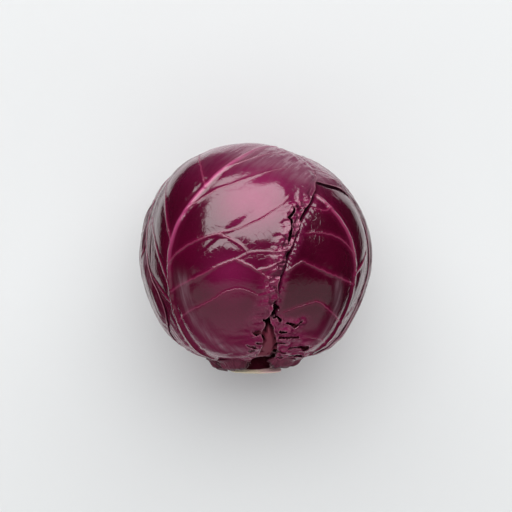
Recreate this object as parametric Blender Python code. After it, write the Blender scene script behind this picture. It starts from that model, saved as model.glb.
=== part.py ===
"""A trimmed red cabbage head, lying on its side.

Metres, +Z up. The stem axis runs along Y: the cut stem faces -Y and the crown +Y. The head lies on a
small flat spot, whose plane is Z = 0, and the origin is the middle of the bounding box's base.

Each leaf is laid over the ones inside it. A direction from the head's middle says how many leaves
lie there, and every leaf follows that count outwards, so that none cuts through another.
"""

import math

import bmesh
import bpy
import numpy as np

# Driving dimensions of the head, in metres.
HALF_WIDTH = 0.0757      # middle to side, X
CROWN_REACH = 0.0770     # middle to crown, +Y
BUTT_REACH = 0.0728      # middle to the leaf bases, -Y
HALF_HEIGHT = 0.0738     # middle to the upper side, +Z
REST_DEPTH = 0.0722      # middle to the flat spot that it lies on, -Z
REST_PRESS = 0.0008      # what comes this near to the flat spot is pressed onto its plane
CUT_REACH = 0.0755       # middle to the cut face of the stem, -Y
LUMP = 0.0007            # how far the ball swells and dips
SHOULDER = 0.0038        # how far both flanks bulge beside the stem
SHOULDER_ANGLE = 38.0    # degrees from the stem's axis to the middle of that bulge
SHOULDER_SPREAD = 17.0   # degrees over which it fades
LEAN = 0.0060            # how far the crown leans towards -X

# The leaves.
BLADE = 0.0012           # thickness of a leaf's blade
AIR = 0.0010             # air between a leaf and the one under it
LAYER = BLADE + AIR
DRAPE = 18.0             # degrees past a margin in which the next leaf comes down
HEART_DRAPE = 34.0       # the same on the heart, which is pressed in more softly
RIB_SUNK = 0.65          # share of a rib's height that is pressed into the heart
RIB_FLANK = 0.009        # half width of a rib's flanks on its own leaf
RIB_COVER = 0.026        # half width of the swelling that a rib makes in the leaf over it
GRID = 18                # squares along and across a leaf

# The stem is a cone whose point would be the head's middle, so its half angle says where leaves stop.
STEM_ANGLE = 13.6
STEM_INNER = 0.0570      # middle to the stem's hidden end
BUTT_CLEARANCE = 0.8     # degrees between the stem and the leaf bases
STEM_SIDES = 48

# Leaves from the heart outwards. "side" is the midrib's angle about the stem axis: 0 is the upper
# side (+Z), 90 is +X. "up" is how far above the middle the leaf is centred, towards the crown.
# "rib" is how far the midrib runs to the side, in degrees, at places along the leaf: 0 is its
# centre, growing towards the tip. "margin" is how far the blade reaches from its centre, in
# degrees, at angles counted from its tip towards growing side angles.
LEAVES = [
    dict(name="leaf_under_left", side=208, up=5, rib={-85: 0, 0: 0.3, 24: 3, 60: 6}, margin={
        0: 60, 45: 58, 90: 58, 135: 66, 225: 66, 270: 60, 315: 58}),
    dict(name="leaf_inner_left", side=278, up=5, rib={-85: 0, 0: -0.3, 24: -3, 60: -6}, margin={
        0: 60, 45: 58, 90: 60, 135: 66, 225: 62, 270: 50, 315: 56}),
    dict(name="leaf_inner_right", side=100, up=5, rib={-85: 0, 0: 0.3, 24: 3, 60: 6}, margin={
        0: 66, 45: 54, 90: 42, 135: 58, 225: 66, 270: 58, 315: 60}),
    dict(name="leaf_inner_top", side=9, up=5, rib={-85: 0, 0: 0.2, 24: 2, 60: 4}, margin={
        0: 62, 45: 58, 90: 54, 135: 62, 225: 62, 270: 58, 315: 58}),
    dict(name="leaf_upper_right", side=56, up=5,
         rib={-85: 0, -60: 2.5, -45: 4.2, -32: 3.9, -16: 1.4, 0: -3.2, 12: -8.4, 28: -16.5, 50: -24}, margin={
             0: 55, 45: 51, 90: 56, 135: 68, 190: 77, 203: 67.4, 214: 62.3, 226: 59, 240: 57.5, 268: 51,
             300: 45, 330: 48}),
    dict(name="leaf_lower_right", side=138, up=12, rib={-85: 0, 0: -1, 24: -6, 60: -11}, margin={
        0: 90, 40: 76, 90: 70, 135: 74, 215: 74, 235: 63, 262: 56, 286: 58, 303: 66, 311: 86, 330: 90}),
    dict(name="leaf_upper_left", side=310.5, up=12,
         rib={-88: -1, -74: -4.2, -60: -4.8, -50: -4.2, -40: -2.6, -30: 0, -20: 2.6, -10: 4.2, 0: 7, 10: 11.2,
              20: 15.8, 30: 19.4, 42: 22, 60: 24}, margin={
             0: 80, 22: 82, 40: 84, 50: 83, 62: 77.5, 72: 71, 87: 66.6, 105: 64.3, 122: 67, 136: 70.3, 150: 79,
             205: 77, 230: 62, 262: 51, 300: 51, 330: 64}),
    dict(name="leaf_lower_left", side=230, up=8, rib={-85: 0, 0: 0.8, 24: 5, 60: 10}, margin={
        0: 64, 21: 53, 51: 44, 75: 49, 92: 55, 104: 64, 118: 74, 130: 73, 143: 66, 156: 66,
        219: 88, 239: 87, 259: 82, 279: 79, 299: 73, 321: 68, 342: 66}),
]

# Stubs of older leaves that were broken off round the stem: middle angle about the axis, and spread.
STUBS = [dict(side=-36, spread=31), dict(side=40, spread=29), dict(side=112, spread=32),
         dict(side=186, spread=33), dict(side=256, spread=30)]
STUB_THICK = 0.0022
STUB_REACH = 8.0        # degrees from the stem to a stub's torn end


def direction(side, up):
    """Unit vector at an angle about the stem axis and an angle up from the middle to the crown."""
    side, up = math.radians(side), math.radians(up)
    return np.array([math.cos(up) * math.sin(side), math.sin(up), math.cos(up) * math.cos(side)])


def smooth(x):
    """0 below 0, 1 above 1, and a smooth step between."""
    x = np.clip(x, 0.0, 1.0)
    return x * x * (3.0 - 2.0 * x)


def ball(d):
    """Distance from the middle to the skin of the whole head along each direction."""
    lengths = np.where(d[:, 1] > 0, CROWN_REACH, BUTT_REACH)
    radius = 1.0 / np.sqrt((d[:, 0] / HALF_WIDTH) ** 2 + (d[:, 1] / lengths) ** 2 + (d[:, 2] / HALF_HEIGHT) ** 2)
    radius += LUMP * np.sin(3.1 * d[:, 0] + 4.3 * d[:, 1] + 0.7) * np.cos(3.7 * d[:, 2] + 1.9 * d[:, 0])
    flank = d[:, 0] ** 2 / np.maximum(d[:, 0] ** 2 + d[:, 2] ** 2, 1e-9)
    from_stem = np.degrees(np.arccos(np.clip(-d[:, 1], -1.0, 1.0)))
    radius += SHOULDER * flank * np.exp(-((from_stem - SHOULDER_ANGLE) / SHOULDER_SPREAD) ** 2)
    radius -= LEAN * d[:, 0] * np.maximum(d[:, 1], 0.0) ** 2
    to_rest = REST_DEPTH / np.maximum(-d[:, 2], 1e-6)
    return np.minimum(radius, to_rest)


def through(x, knots, values):
    """A smooth curve through the values at the knots, with x between the first knot and the last."""
    slopes = np.gradient(values, knots)
    i = np.clip(np.searchsorted(knots, x, side="right") - 1, 0, len(knots) - 2)
    width = knots[i + 1] - knots[i]
    t = (x - knots[i]) / width
    rise = values[i + 1] - values[i]
    bend = t * (1 - t) * ((1 - t) * (slopes[i] * width - rise) - t * (slopes[i + 1] * width - rise))
    return values[i] + rise * t + bend


class Leaf:
    """Where a leaf lies: its outline, its midrib and the swelling that it makes in what covers it."""

    def __init__(self, name, side, up, rib, margin):
        self.name = name
        self.rib_knots = np.array(sorted(rib), float)
        self.rib_values = np.array([rib[k] for k in sorted(rib)], float)
        self.centre = direction(side, up)
        self.to_tip = direction(side, up + 90.0)
        self.to_side = np.cross(self.to_tip, self.centre)
        base = 90.0 + up - STEM_ANGLE - BUTT_CLEARANCE
        points = sorted({**margin, 180: base}.items())
        angles = np.array([a for a, _ in points], float)
        reaches = np.array([r for _, r in points], float)
        self.angles = np.concatenate([angles[-2:] - 360.0, angles, angles[:3] + 360.0])
        self.reaches = np.concatenate([reaches[-2:], reaches, reaches[:3]])

    def reach(self, angle):
        """How far the blade reaches at an angle from the tip, on a smooth closed outline."""
        return through(np.mod(angle, 360.0), self.angles, self.reaches)

    def point(self, away, angle):
        """Unit vectors at a distance from the leaf's centre, both in degrees."""
        away, angle = np.radians(away)[:, None], np.radians(angle)[:, None]
        across = np.cos(angle) * self.to_tip + np.sin(angle) * self.to_side
        return np.cos(away) * self.centre + np.sin(away) * across

    def place(self, d):
        """Distance and angle of each direction from the leaf's centre, in degrees."""
        away = np.degrees(np.arccos(np.clip(d @ self.centre, -1, 1)))
        return away, np.degrees(np.arctan2(d @ self.to_side, d @ self.to_tip))

    def cover(self, d, drape):
        """1 where the leaf lies, falling to 0 over the drape outside its margin."""
        away, angle = self.place(d)
        reach = self.reach(angle)
        slant = (self.reach(angle + 1.0) - self.reach(angle - 1.0)) / 2.0 / np.sin(np.radians(reach))
        outside = (away - reach) / np.hypot(1.0, slant)
        return smooth(1.0 - outside / drape)

    def rib(self, d, flank):
        """Height of the midrib in metres, spread over a flank."""
        away, angle = self.place(d)
        along = away * np.cos(np.radians(angle))
        across = away * np.sin(np.radians(angle))
        within = np.clip(along, self.rib_knots[0], self.rib_knots[-1])
        middle = through(within, self.rib_knots, self.rib_values)
        apart = np.abs(across - middle) * math.radians(1.0) * HALF_WIDTH * np.sinc(away / 180.0)
        height = 0.0004 + 0.0028 * np.exp(-(along + 80.0) / 30.0)
        return height * smooth(1.0 - apart / flank) * smooth((90.0 - away) / 15.0 + 1.0)


LAID = [Leaf(**leaf) for leaf in LEAVES]


def heart_radius(d):
    """The packed inner head: the ball less the leaves that lie over it."""
    radius = ball(d)
    for leaf in LAID:
        radius = radius - LAYER * leaf.cover(d, HEART_DRAPE) - RIB_SUNK * leaf.rib(d, RIB_COVER)
    return radius


def laid_radius(d, count):
    """The underside of the leaf that has this many leaves inside it."""
    radius = heart_radius(d) + AIR
    for leaf in LAID[:count]:
        radius = radius + LAYER * leaf.cover(d, DRAPE) + leaf.rib(d, RIB_COVER)
    return radius


def pressed_flat(points):
    """Presses the skin nearest to the plane that the head lies on down or up onto that plane."""
    near = points[:, 2] < REST_PRESS - REST_DEPTH
    points[near, 2] = -REST_DEPTH
    return points


def material(name, colour, roughness):
    made = bpy.data.materials.new(name)
    made.use_nodes = True
    shader = made.node_tree.nodes["Principled BSDF"]
    shader.inputs["Base Color"].default_value = (*colour, 1.0)
    shader.inputs["Roughness"].default_value = roughness
    shader.inputs["Metallic"].default_value = 0.0
    return made


def add_object(name, bm, paint, sharp=40.0):
    mesh = bpy.data.meshes.new(name)
    bm.to_mesh(mesh)
    bm.free()
    made = bpy.data.objects.new(name, mesh)
    bpy.context.scene.collection.objects.link(made)
    mesh.materials.append(paint)
    mesh.shade_smooth()
    mesh.set_sharp_from_angle(angle=math.radians(sharp))
    return made


def sheet_solid(name, rows, columns, outer, inner, paint):
    """A closed sheet from a grid of outer points and the grid of inner points under them."""
    bm = bmesh.new()
    bmesh.ops.create_grid(bm, x_segments=columns, y_segments=rows, size=1.0)
    bm.verts.ensure_lookup_table()
    top = list(bm.verts)
    copied = bmesh.ops.duplicate(bm, geom=bm.verts[:] + bm.edges[:] + bm.faces[:])
    under = [copied["vert_map"][v] for v in top]
    bmesh.ops.reverse_faces(bm, faces=[g for g in copied["geom"] if isinstance(g, bmesh.types.BMFace)])
    rim = [e for e in bm.edges if e.is_boundary]
    bmesh.ops.bridge_loops(bm, edges=rim)
    for vertex, place in zip(top, outer):
        vertex.co = place
    for vertex, place in zip(under, inner):
        vertex.co = place
    bmesh.ops.triangulate(bm, faces=bm.faces[:])
    bmesh.ops.recalc_face_normals(bm, faces=bm.faces[:])
    return add_object(name, bm, paint)


def grid_points(rows, columns):
    """The places of create_grid's vertices, each from -1 to 1, across first."""
    across, along = np.meshgrid(np.linspace(-1, 1, columns + 1), np.linspace(-1, 1, rows + 1))
    return across.ravel(), along.ravel()


def build_leaf(count, paint):
    """A leaf as a closed sheet: a square grid drawn out to the blade's outline."""
    leaf = LAID[count]
    across, along = grid_points(GRID, GRID)
    x = across * np.sqrt(1.0 - along ** 2 / 2.0)
    y = along * np.sqrt(1.0 - across ** 2 / 2.0)
    angle = np.degrees(np.arctan2(x, y))
    out = np.hypot(x, y)
    middling = leaf.reach(np.arange(360.0)).mean()
    d = leaf.point(out * (middling + (leaf.reach(angle) - middling) * out), angle)
    under = laid_radius(d, count)
    over = under + BLADE + leaf.rib(d, RIB_FLANK)
    return sheet_solid(leaf.name, GRID, GRID, pressed_flat(d * over[:, None]), d * under[:, None], paint)


def build_stub(number, side, spread, paint):
    """The torn base of a leaf that was broken off, lying over the leaf bases beside the stem."""
    rows, columns = 3, 7
    across, along = grid_points(rows, columns)
    out = (along + 1.0) / 2.0
    torn = 1.0 - 0.22 * across ** 2 + 0.12 * np.sin(7.0 * across + side)
    from_axis = STEM_ANGLE + BUTT_CLEARANCE + STUB_REACH * out * torn
    round_axis = side + spread * across * (1.0 - 0.25 * out)
    d = np.array([direction(a, r - 90.0) for a, r in zip(round_axis, from_axis)])
    under = laid_radius(d, len(LAID))
    over = under + STUB_THICK * (1.0 - 0.45 * out) * (1.0 - 0.35 * across ** 2)
    return sheet_solid(f"leaf_stub_{number}", rows, columns, d * over[:, None], d * under[:, None], paint)


def build_heart(paint):
    bm = bmesh.new()
    bmesh.ops.create_icosphere(bm, subdivisions=4, radius=1.0)
    d = np.array([v.co[:] for v in bm.verts])
    d /= np.linalg.norm(d, axis=1)[:, None]
    points = d * heart_radius(d)[:, None]
    points[:, 1] = np.maximum(points[:, 1], -STEM_INNER + AIR)
    for vertex, place in zip(bm.verts, points):
        vertex.co = place
    return add_object("inner_head", bm, paint, sharp=60.0)


def build_stem(paint):
    """The cut stem: a slightly lobed cone, bevelled where the knife left it."""
    bm = bmesh.new()
    slope = math.tan(math.radians(STEM_ANGLE))
    rings = []
    for reach in (STEM_INNER, 0.5 * (STEM_INNER + CUT_REACH), CUT_REACH):
        ring = []
        for k in range(STEM_SIDES):
            turn = 2.0 * math.pi * k / STEM_SIDES
            radius = reach * slope * (0.965 + 0.025 * math.cos(6.0 * turn))
            ring.append(bm.verts.new((radius * math.sin(turn), -reach, radius * math.cos(turn))))
        rings.append(ring)
    for lower, upper in zip(rings, rings[1:]):
        for k in range(STEM_SIDES):
            n = (k + 1) % STEM_SIDES
            bm.faces.new((lower[k], lower[n], upper[n], upper[k]))
    bm.faces.new(rings[0])
    cut = bm.faces.new(rings[-1])
    bmesh.ops.bevel(bm, geom=list(cut.edges), offset=0.0008, segments=1, affect="EDGES")
    bmesh.ops.recalc_face_normals(bm, faces=bm.faces[:])
    return add_object("cut_stem", bm, paint, sharp=30.0)


def main():
    for old in list(bpy.data.objects):
        bpy.data.objects.remove(old)
    leaf_paint = material("leaf", (0.13, 0.008, 0.035), 0.35)
    heart_paint = material("heart", (0.16, 0.02, 0.06), 0.5)
    stem_paint = material("stem", (0.80, 0.72, 0.58), 0.6)
    stub_paint = material("stub", (0.22, 0.06, 0.10), 0.5)
    made = [build_heart(heart_paint), build_stem(stem_paint)]
    made += [build_leaf(count, leaf_paint) for count in range(len(LAID))]
    made += [build_stub(n, paint=stub_paint, **stub) for n, stub in enumerate(STUBS, start=1)]
    corners = np.array([v.co[:] for part in made for v in part.data.vertices])
    middle = (corners.min(0) + corners.max(0)) / 2.0
    for part in made:
        part.location = (-middle[0], -middle[1], REST_DEPTH)


main()
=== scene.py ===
import itertools
import math

import bmesh
import bpy
import numpy as np
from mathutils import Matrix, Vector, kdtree


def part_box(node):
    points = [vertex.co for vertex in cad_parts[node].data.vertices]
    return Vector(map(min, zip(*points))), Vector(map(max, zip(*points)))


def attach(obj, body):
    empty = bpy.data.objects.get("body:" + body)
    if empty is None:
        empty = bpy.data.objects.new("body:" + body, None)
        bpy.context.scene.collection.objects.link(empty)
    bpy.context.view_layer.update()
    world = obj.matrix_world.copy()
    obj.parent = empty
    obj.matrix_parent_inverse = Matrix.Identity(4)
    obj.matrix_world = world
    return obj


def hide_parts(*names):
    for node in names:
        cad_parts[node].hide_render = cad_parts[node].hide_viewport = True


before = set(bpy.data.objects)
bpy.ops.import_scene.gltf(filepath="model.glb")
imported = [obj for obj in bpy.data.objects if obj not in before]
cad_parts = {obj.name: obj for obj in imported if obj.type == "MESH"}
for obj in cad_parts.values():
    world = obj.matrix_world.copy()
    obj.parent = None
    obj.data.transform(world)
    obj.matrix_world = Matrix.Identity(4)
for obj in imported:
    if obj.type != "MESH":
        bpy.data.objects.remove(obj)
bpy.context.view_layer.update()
print("frame loaded:", len(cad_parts), "nodes")

head = {  # the head's own measures: lengths in metres, angles in degrees, the rest shares
    "halfWidth": 0.0757, "crownReach": 0.077, "buttReach": 0.0728, "halfHeight": 0.0738,
    "restDepth": 0.0722, "cutReach": 0.0755, "lump": 0.0007, "lean": 0.006,
    "shoulder": 0.0038, "shoulderAngle": 38, "shoulderSpread": 17,
    "blade": 0.0012, "air": 0.001, "drape": 18, "heartDrape": 34,
    "ribSunk": 0.65, "ribCover": 0.026, "ribLow": 0.0004, "ribRise": 0.0028, "ribRun": 30,
    "stemAngle": 13.6, "buttClearance": 0.8,
}
layer = head["blade"] + head["air"]
degree = 1.32  # millimetres along the head's skin for one degree about its middle
skin = 76  # millimetres from that middle to the skin

stemLow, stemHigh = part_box("cut_stem")
headMiddle = np.array([(stemLow[0] + stemHigh[0]) / 2, stemLow[1] + head["cutReach"], head["restDepth"]])


def direction(side, up):  # degrees about the stem axis from the upper side, and towards the crown
    side, up = math.radians(side), math.radians(up)
    return np.array([math.cos(up) * math.sin(side), math.sin(up), math.cos(up) * math.cos(side)])


def sideAndUp(d):
    return np.degrees(np.arctan2(d[:, 0], d[:, 2])), np.degrees(np.arcsin(np.clip(d[:, 1], -1, 1)))


def degreesFrom(d, way):
    return np.degrees(np.arccos(np.clip(d @ way, -1, 1)))


def smooth(x):
    x = np.clip(x, 0, 1)
    return x * x * (3 - 2 * x)


def bell(x):
    return np.exp(-x * x)


def lumps(points, size, seed):  # smooth random swell from -1 to 1, in lumps of about this size
    cell = points / size + 13.7 * seed
    low = np.floor(cell)
    part = smooth(cell - low)
    total = np.zeros(len(points))
    for corner in itertools.product((0, 1), repeat=points.shape[1]):
        at = (low + corner) @ np.array([127.1, 311.7, 74.7])[:points.shape[1]]
        value = np.sin(at + 17.3 * seed) * 4375.85
        weight = np.prod(np.where(np.array(corner) > 0.5, part, 1 - part), axis=1)
        total += (2 * (value - np.floor(value)) - 1) * weight
    return total


def creases(points, size, seed):  # sharp ridges between softer hollows, from -1 to 1
    return 1 - 2.6 * np.abs(lumps(points, size, seed))


def ballRadius(d):
    lengths = np.where(d[:, 1] > 0, head["crownReach"], head["buttReach"])
    radius = 1 / np.sqrt((d[:, 0] / head["halfWidth"]) ** 2 + (d[:, 1] / lengths) ** 2
                           + (d[:, 2] / head["halfHeight"]) ** 2)
    radius += (head["lump"] * np.sin(3.1 * d[:, 0] + 4.3 * d[:, 1] + 0.7)
               * np.cos(3.7 * d[:, 2] + 1.9 * d[:, 0]))
    flank = d[:, 0] ** 2 / np.maximum(d[:, 0] ** 2 + d[:, 2] ** 2, 1e-9)
    fromStem = np.degrees(np.arccos(np.clip(-d[:, 1], -1, 1)))
    radius += head["shoulder"] * flank * bell((fromStem - head["shoulderAngle"]) / head["shoulderSpread"])
    radius -= head["lean"] * d[:, 0] * np.maximum(d[:, 1], 0) ** 2
    return np.minimum(radius, head["restDepth"] / np.maximum(-d[:, 2], 1e-6))


def through(x, knots, values):  # a smooth curve through the values at the knots
    slopes = np.gradient(values, knots)
    i = np.clip(np.searchsorted(knots, x, side="right") - 1, 0, len(knots) - 2)
    width = knots[i + 1] - knots[i]
    t = (x - knots[i]) / width
    rise = values[i + 1] - values[i]
    bend = t * (1 - t) * ((1 - t) * (slopes[i] * width - rise) - t * (slopes[i + 1] * width - rise))
    return values[i] + rise * t + bend


class LeafLay:  # where a leaf lies: its outline, its midrib and how it lifts the leaves over it
    def __init__(self, name, side, up, rib, margin):
        self.name = name
        self.ribKnots = np.array(sorted(rib), float)
        self.ribValues = np.array([rib[k] for k in sorted(rib)], float)
        self.middle = direction(side, up)
        self.toTip = direction(side, up + 90)
        self.toSide = np.cross(self.toTip, self.middle)
        base = 90 + up - head["stemAngle"] - head["buttClearance"]
        points = sorted({**margin, 180: base}.items())
        angles = np.array([a for a, _ in points], float)
        reaches = np.array([r for _, r in points], float)
        self.angles = np.concatenate([angles[-2:] - 360, angles, angles[:3] + 360])
        self.reaches = np.concatenate([reaches[-2:], reaches, reaches[:3]])

    def reach(self, angle):
        return through(np.mod(angle, 360), self.angles, self.reaches)

    def point(self, away, angle):
        away, angle = np.radians(away)[:, None], np.radians(angle)[:, None]
        outward = np.cos(angle) * self.toTip + np.sin(angle) * self.toSide
        return np.cos(away) * self.middle + np.sin(away) * outward

    def place(self, d):
        return degreesFrom(d, self.middle), np.degrees(np.arctan2(d @ self.toSide, d @ self.toTip))

    def plane(self, d):  # millimetres across and along the leaf laid flat
        away, angle = self.place(d)
        return np.stack([away * np.sin(np.radians(angle)), away * np.cos(np.radians(angle))], axis=1) * degree

    def outside(self, d):  # degrees outside the margin, negative on the leaf
        away, angle = self.place(d)
        reach = self.reach(angle)
        slant = (self.reach(angle + 1) - self.reach(angle - 1)) / 2 / np.sin(np.radians(reach))
        return (away - reach) / np.hypot(1, slant)

    def cover(self, d, drape):
        return smooth(1 - self.outside(d) / drape)

    def ribMiddle(self, along):  # degrees that the midrib runs to the side
        return through(np.clip(along, self.ribKnots[0], self.ribKnots[-1]), self.ribKnots, self.ribValues)

    def rib(self, d, flank):
        away, angle = self.place(d)
        along = away * np.cos(np.radians(angle))
        across = away * np.sin(np.radians(angle)) - self.ribMiddle(along)
        apart = np.abs(across) * math.radians(1) * head["halfWidth"] * np.sinc(away / 180)
        height = head["ribLow"] + head["ribRise"] * np.exp(-(along + 80) / head["ribRun"])
        return height * smooth(1 - apart / flank) * smooth((90 - away) / 15 + 1)


def operator(operation, swapped=False):
    def act(wire, other=0):
        values = [other, wire] if swapped else [wire, other]
        return wire.finish.add("Math", {"operation": operation}, dict(enumerate(values)))
    return act


class Wire:  # a socket in a material; sums on it add Math nodes
    def __init__(self, finish, socket):
        self.finish = finish
        self.socket = socket

    __add__, __mul__, __truediv__, __pow__ = map(operator, ("ADD", "MULTIPLY", "DIVIDE", "POWER"))
    __sub__, __rsub__ = operator("SUBTRACT"), operator("SUBTRACT", swapped=True)
    atLeast, size = operator("MAXIMUM"), operator("ABSOLUTE")

    def clamp(self):
        return self.finish.add("Clamp", {}, {"Value": self})

    def step(self, low, high):  # 0 at low, 1 at high, smooth between; low may be the larger
        return self.finish.add("MapRange", {"interpolation_type": "SMOOTHSTEP"},
                               {"Value": self, "From Min": low, "From Max": high})


class Finish:  # a material under construction
    def __init__(self, name):
        self.material = bpy.data.materials.new(name)
        self.material.use_nodes = True
        self.tree = self.material.node_tree
        self.shader = self.tree.nodes["Principled BSDF"]

    def add(self, kind, settings, inputs, output=0):
        node = self.tree.nodes.new("ShaderNode" + kind)
        for name, value in settings.items():
            if name == "stops":
                ramp = node.color_ramp
                while len(ramp.elements) < len(value):
                    ramp.elements.new(0.5)
                for element, (position, colour) in zip(ramp.elements, value):
                    element.position, element.color = position, (*colour, 1)
            else:
                setattr(node, name, value)
        for name, value in inputs.items():
            self.feed(node.inputs[name], value)
        return Wire(self, node.outputs[output])

    def feed(self, socket, value):
        if isinstance(value, Wire):
            self.tree.links.new(value.socket, socket)
        elif socket.type == "RGBA" and len(value) == 3:
            socket.default_value = (*value, 1)
        else:
            socket.default_value = value

    def set(self, **values):  # inputs of the shader itself
        for name, value in values.items():
            self.feed(self.shader.inputs[name.replace("_", " ")], value)

    def attribute(self, name, count=3):  # the numbers of a vector attribute
        vector = self.add("Attribute", {"attribute_name": name}, {}, "Vector")
        return [self.add("SeparateXYZ", {}, {0: vector}, k) for k in range(count)]

    def noise(self, where, scale, detail=3, roughness=0.5, distortion=0):
        return self.add("TexNoise", {}, {"Vector": where, "Scale": scale, "Detail": detail,
                                         "Roughness": roughness, "Distortion": distortion})

    def blend(self, factor, first, second, kind="MIX"):  # colours
        node = self.tree.nodes.new("ShaderNodeMix")
        node.data_type, node.blend_type = "RGBA", kind
        self.feed(node.inputs[0], factor)
        self.feed(node.inputs[6], first)
        self.feed(node.inputs[7], second)
        return Wire(self, node.outputs[2])

    def bump(self, height, distance, below=None):
        inputs = {"Height": height, "Distance": distance, "Strength": 1}
        if below is not None:
            inputs["Normal"] = below
        return self.add("Bump", {}, inputs)


leafColours = {
    "deep": (0.045, 0.0006, 0.009), "wine": (0.095, 0.001, 0.02), "plum": (0.15, 0.005, 0.052),
    "paintedLight": (0.27, 0.012, 0.09), "base": (0.2, 0.0125, 0.062), "glow": (0.18, 0.004, 0.045),
    "vein": (0.27, 0.03, 0.09), "rib": (0.52, 0.075, 0.22), "ribBase": (0.125, 0.009, 0.033),
    "edge": (0.4, 0.15, 0.21), "bloomAndSheen": (0.35, 0.21, 0.26), "recessShade": (0.024, 0.0005, 0.0075),
}
leafLook = {
    "mainVein": 0.62, "fineVein": 0.05, "midrib": 0.6, "ribCrest": 0.3, "crownBloomAndSheen": 0.56, "dustAndSheen": 0.46,
    "pleatBloomAndSheen": 0.38, "tornEdge": 0.6, "roughness": 0.065, "bloomRoughness": 0.3, "relief": 0.001,
}
veinEnd = 1.3  # mm between a point and the nearest point of a vein past which the vein has ended


def veinLine(finish, name):  # small where both the way to the nearest vein and the distance to it are small
    x, y, away = finish.attribute(name)
    return ((x * x + y * y) ** 0.5).atLeast(away - veinEnd)


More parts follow.
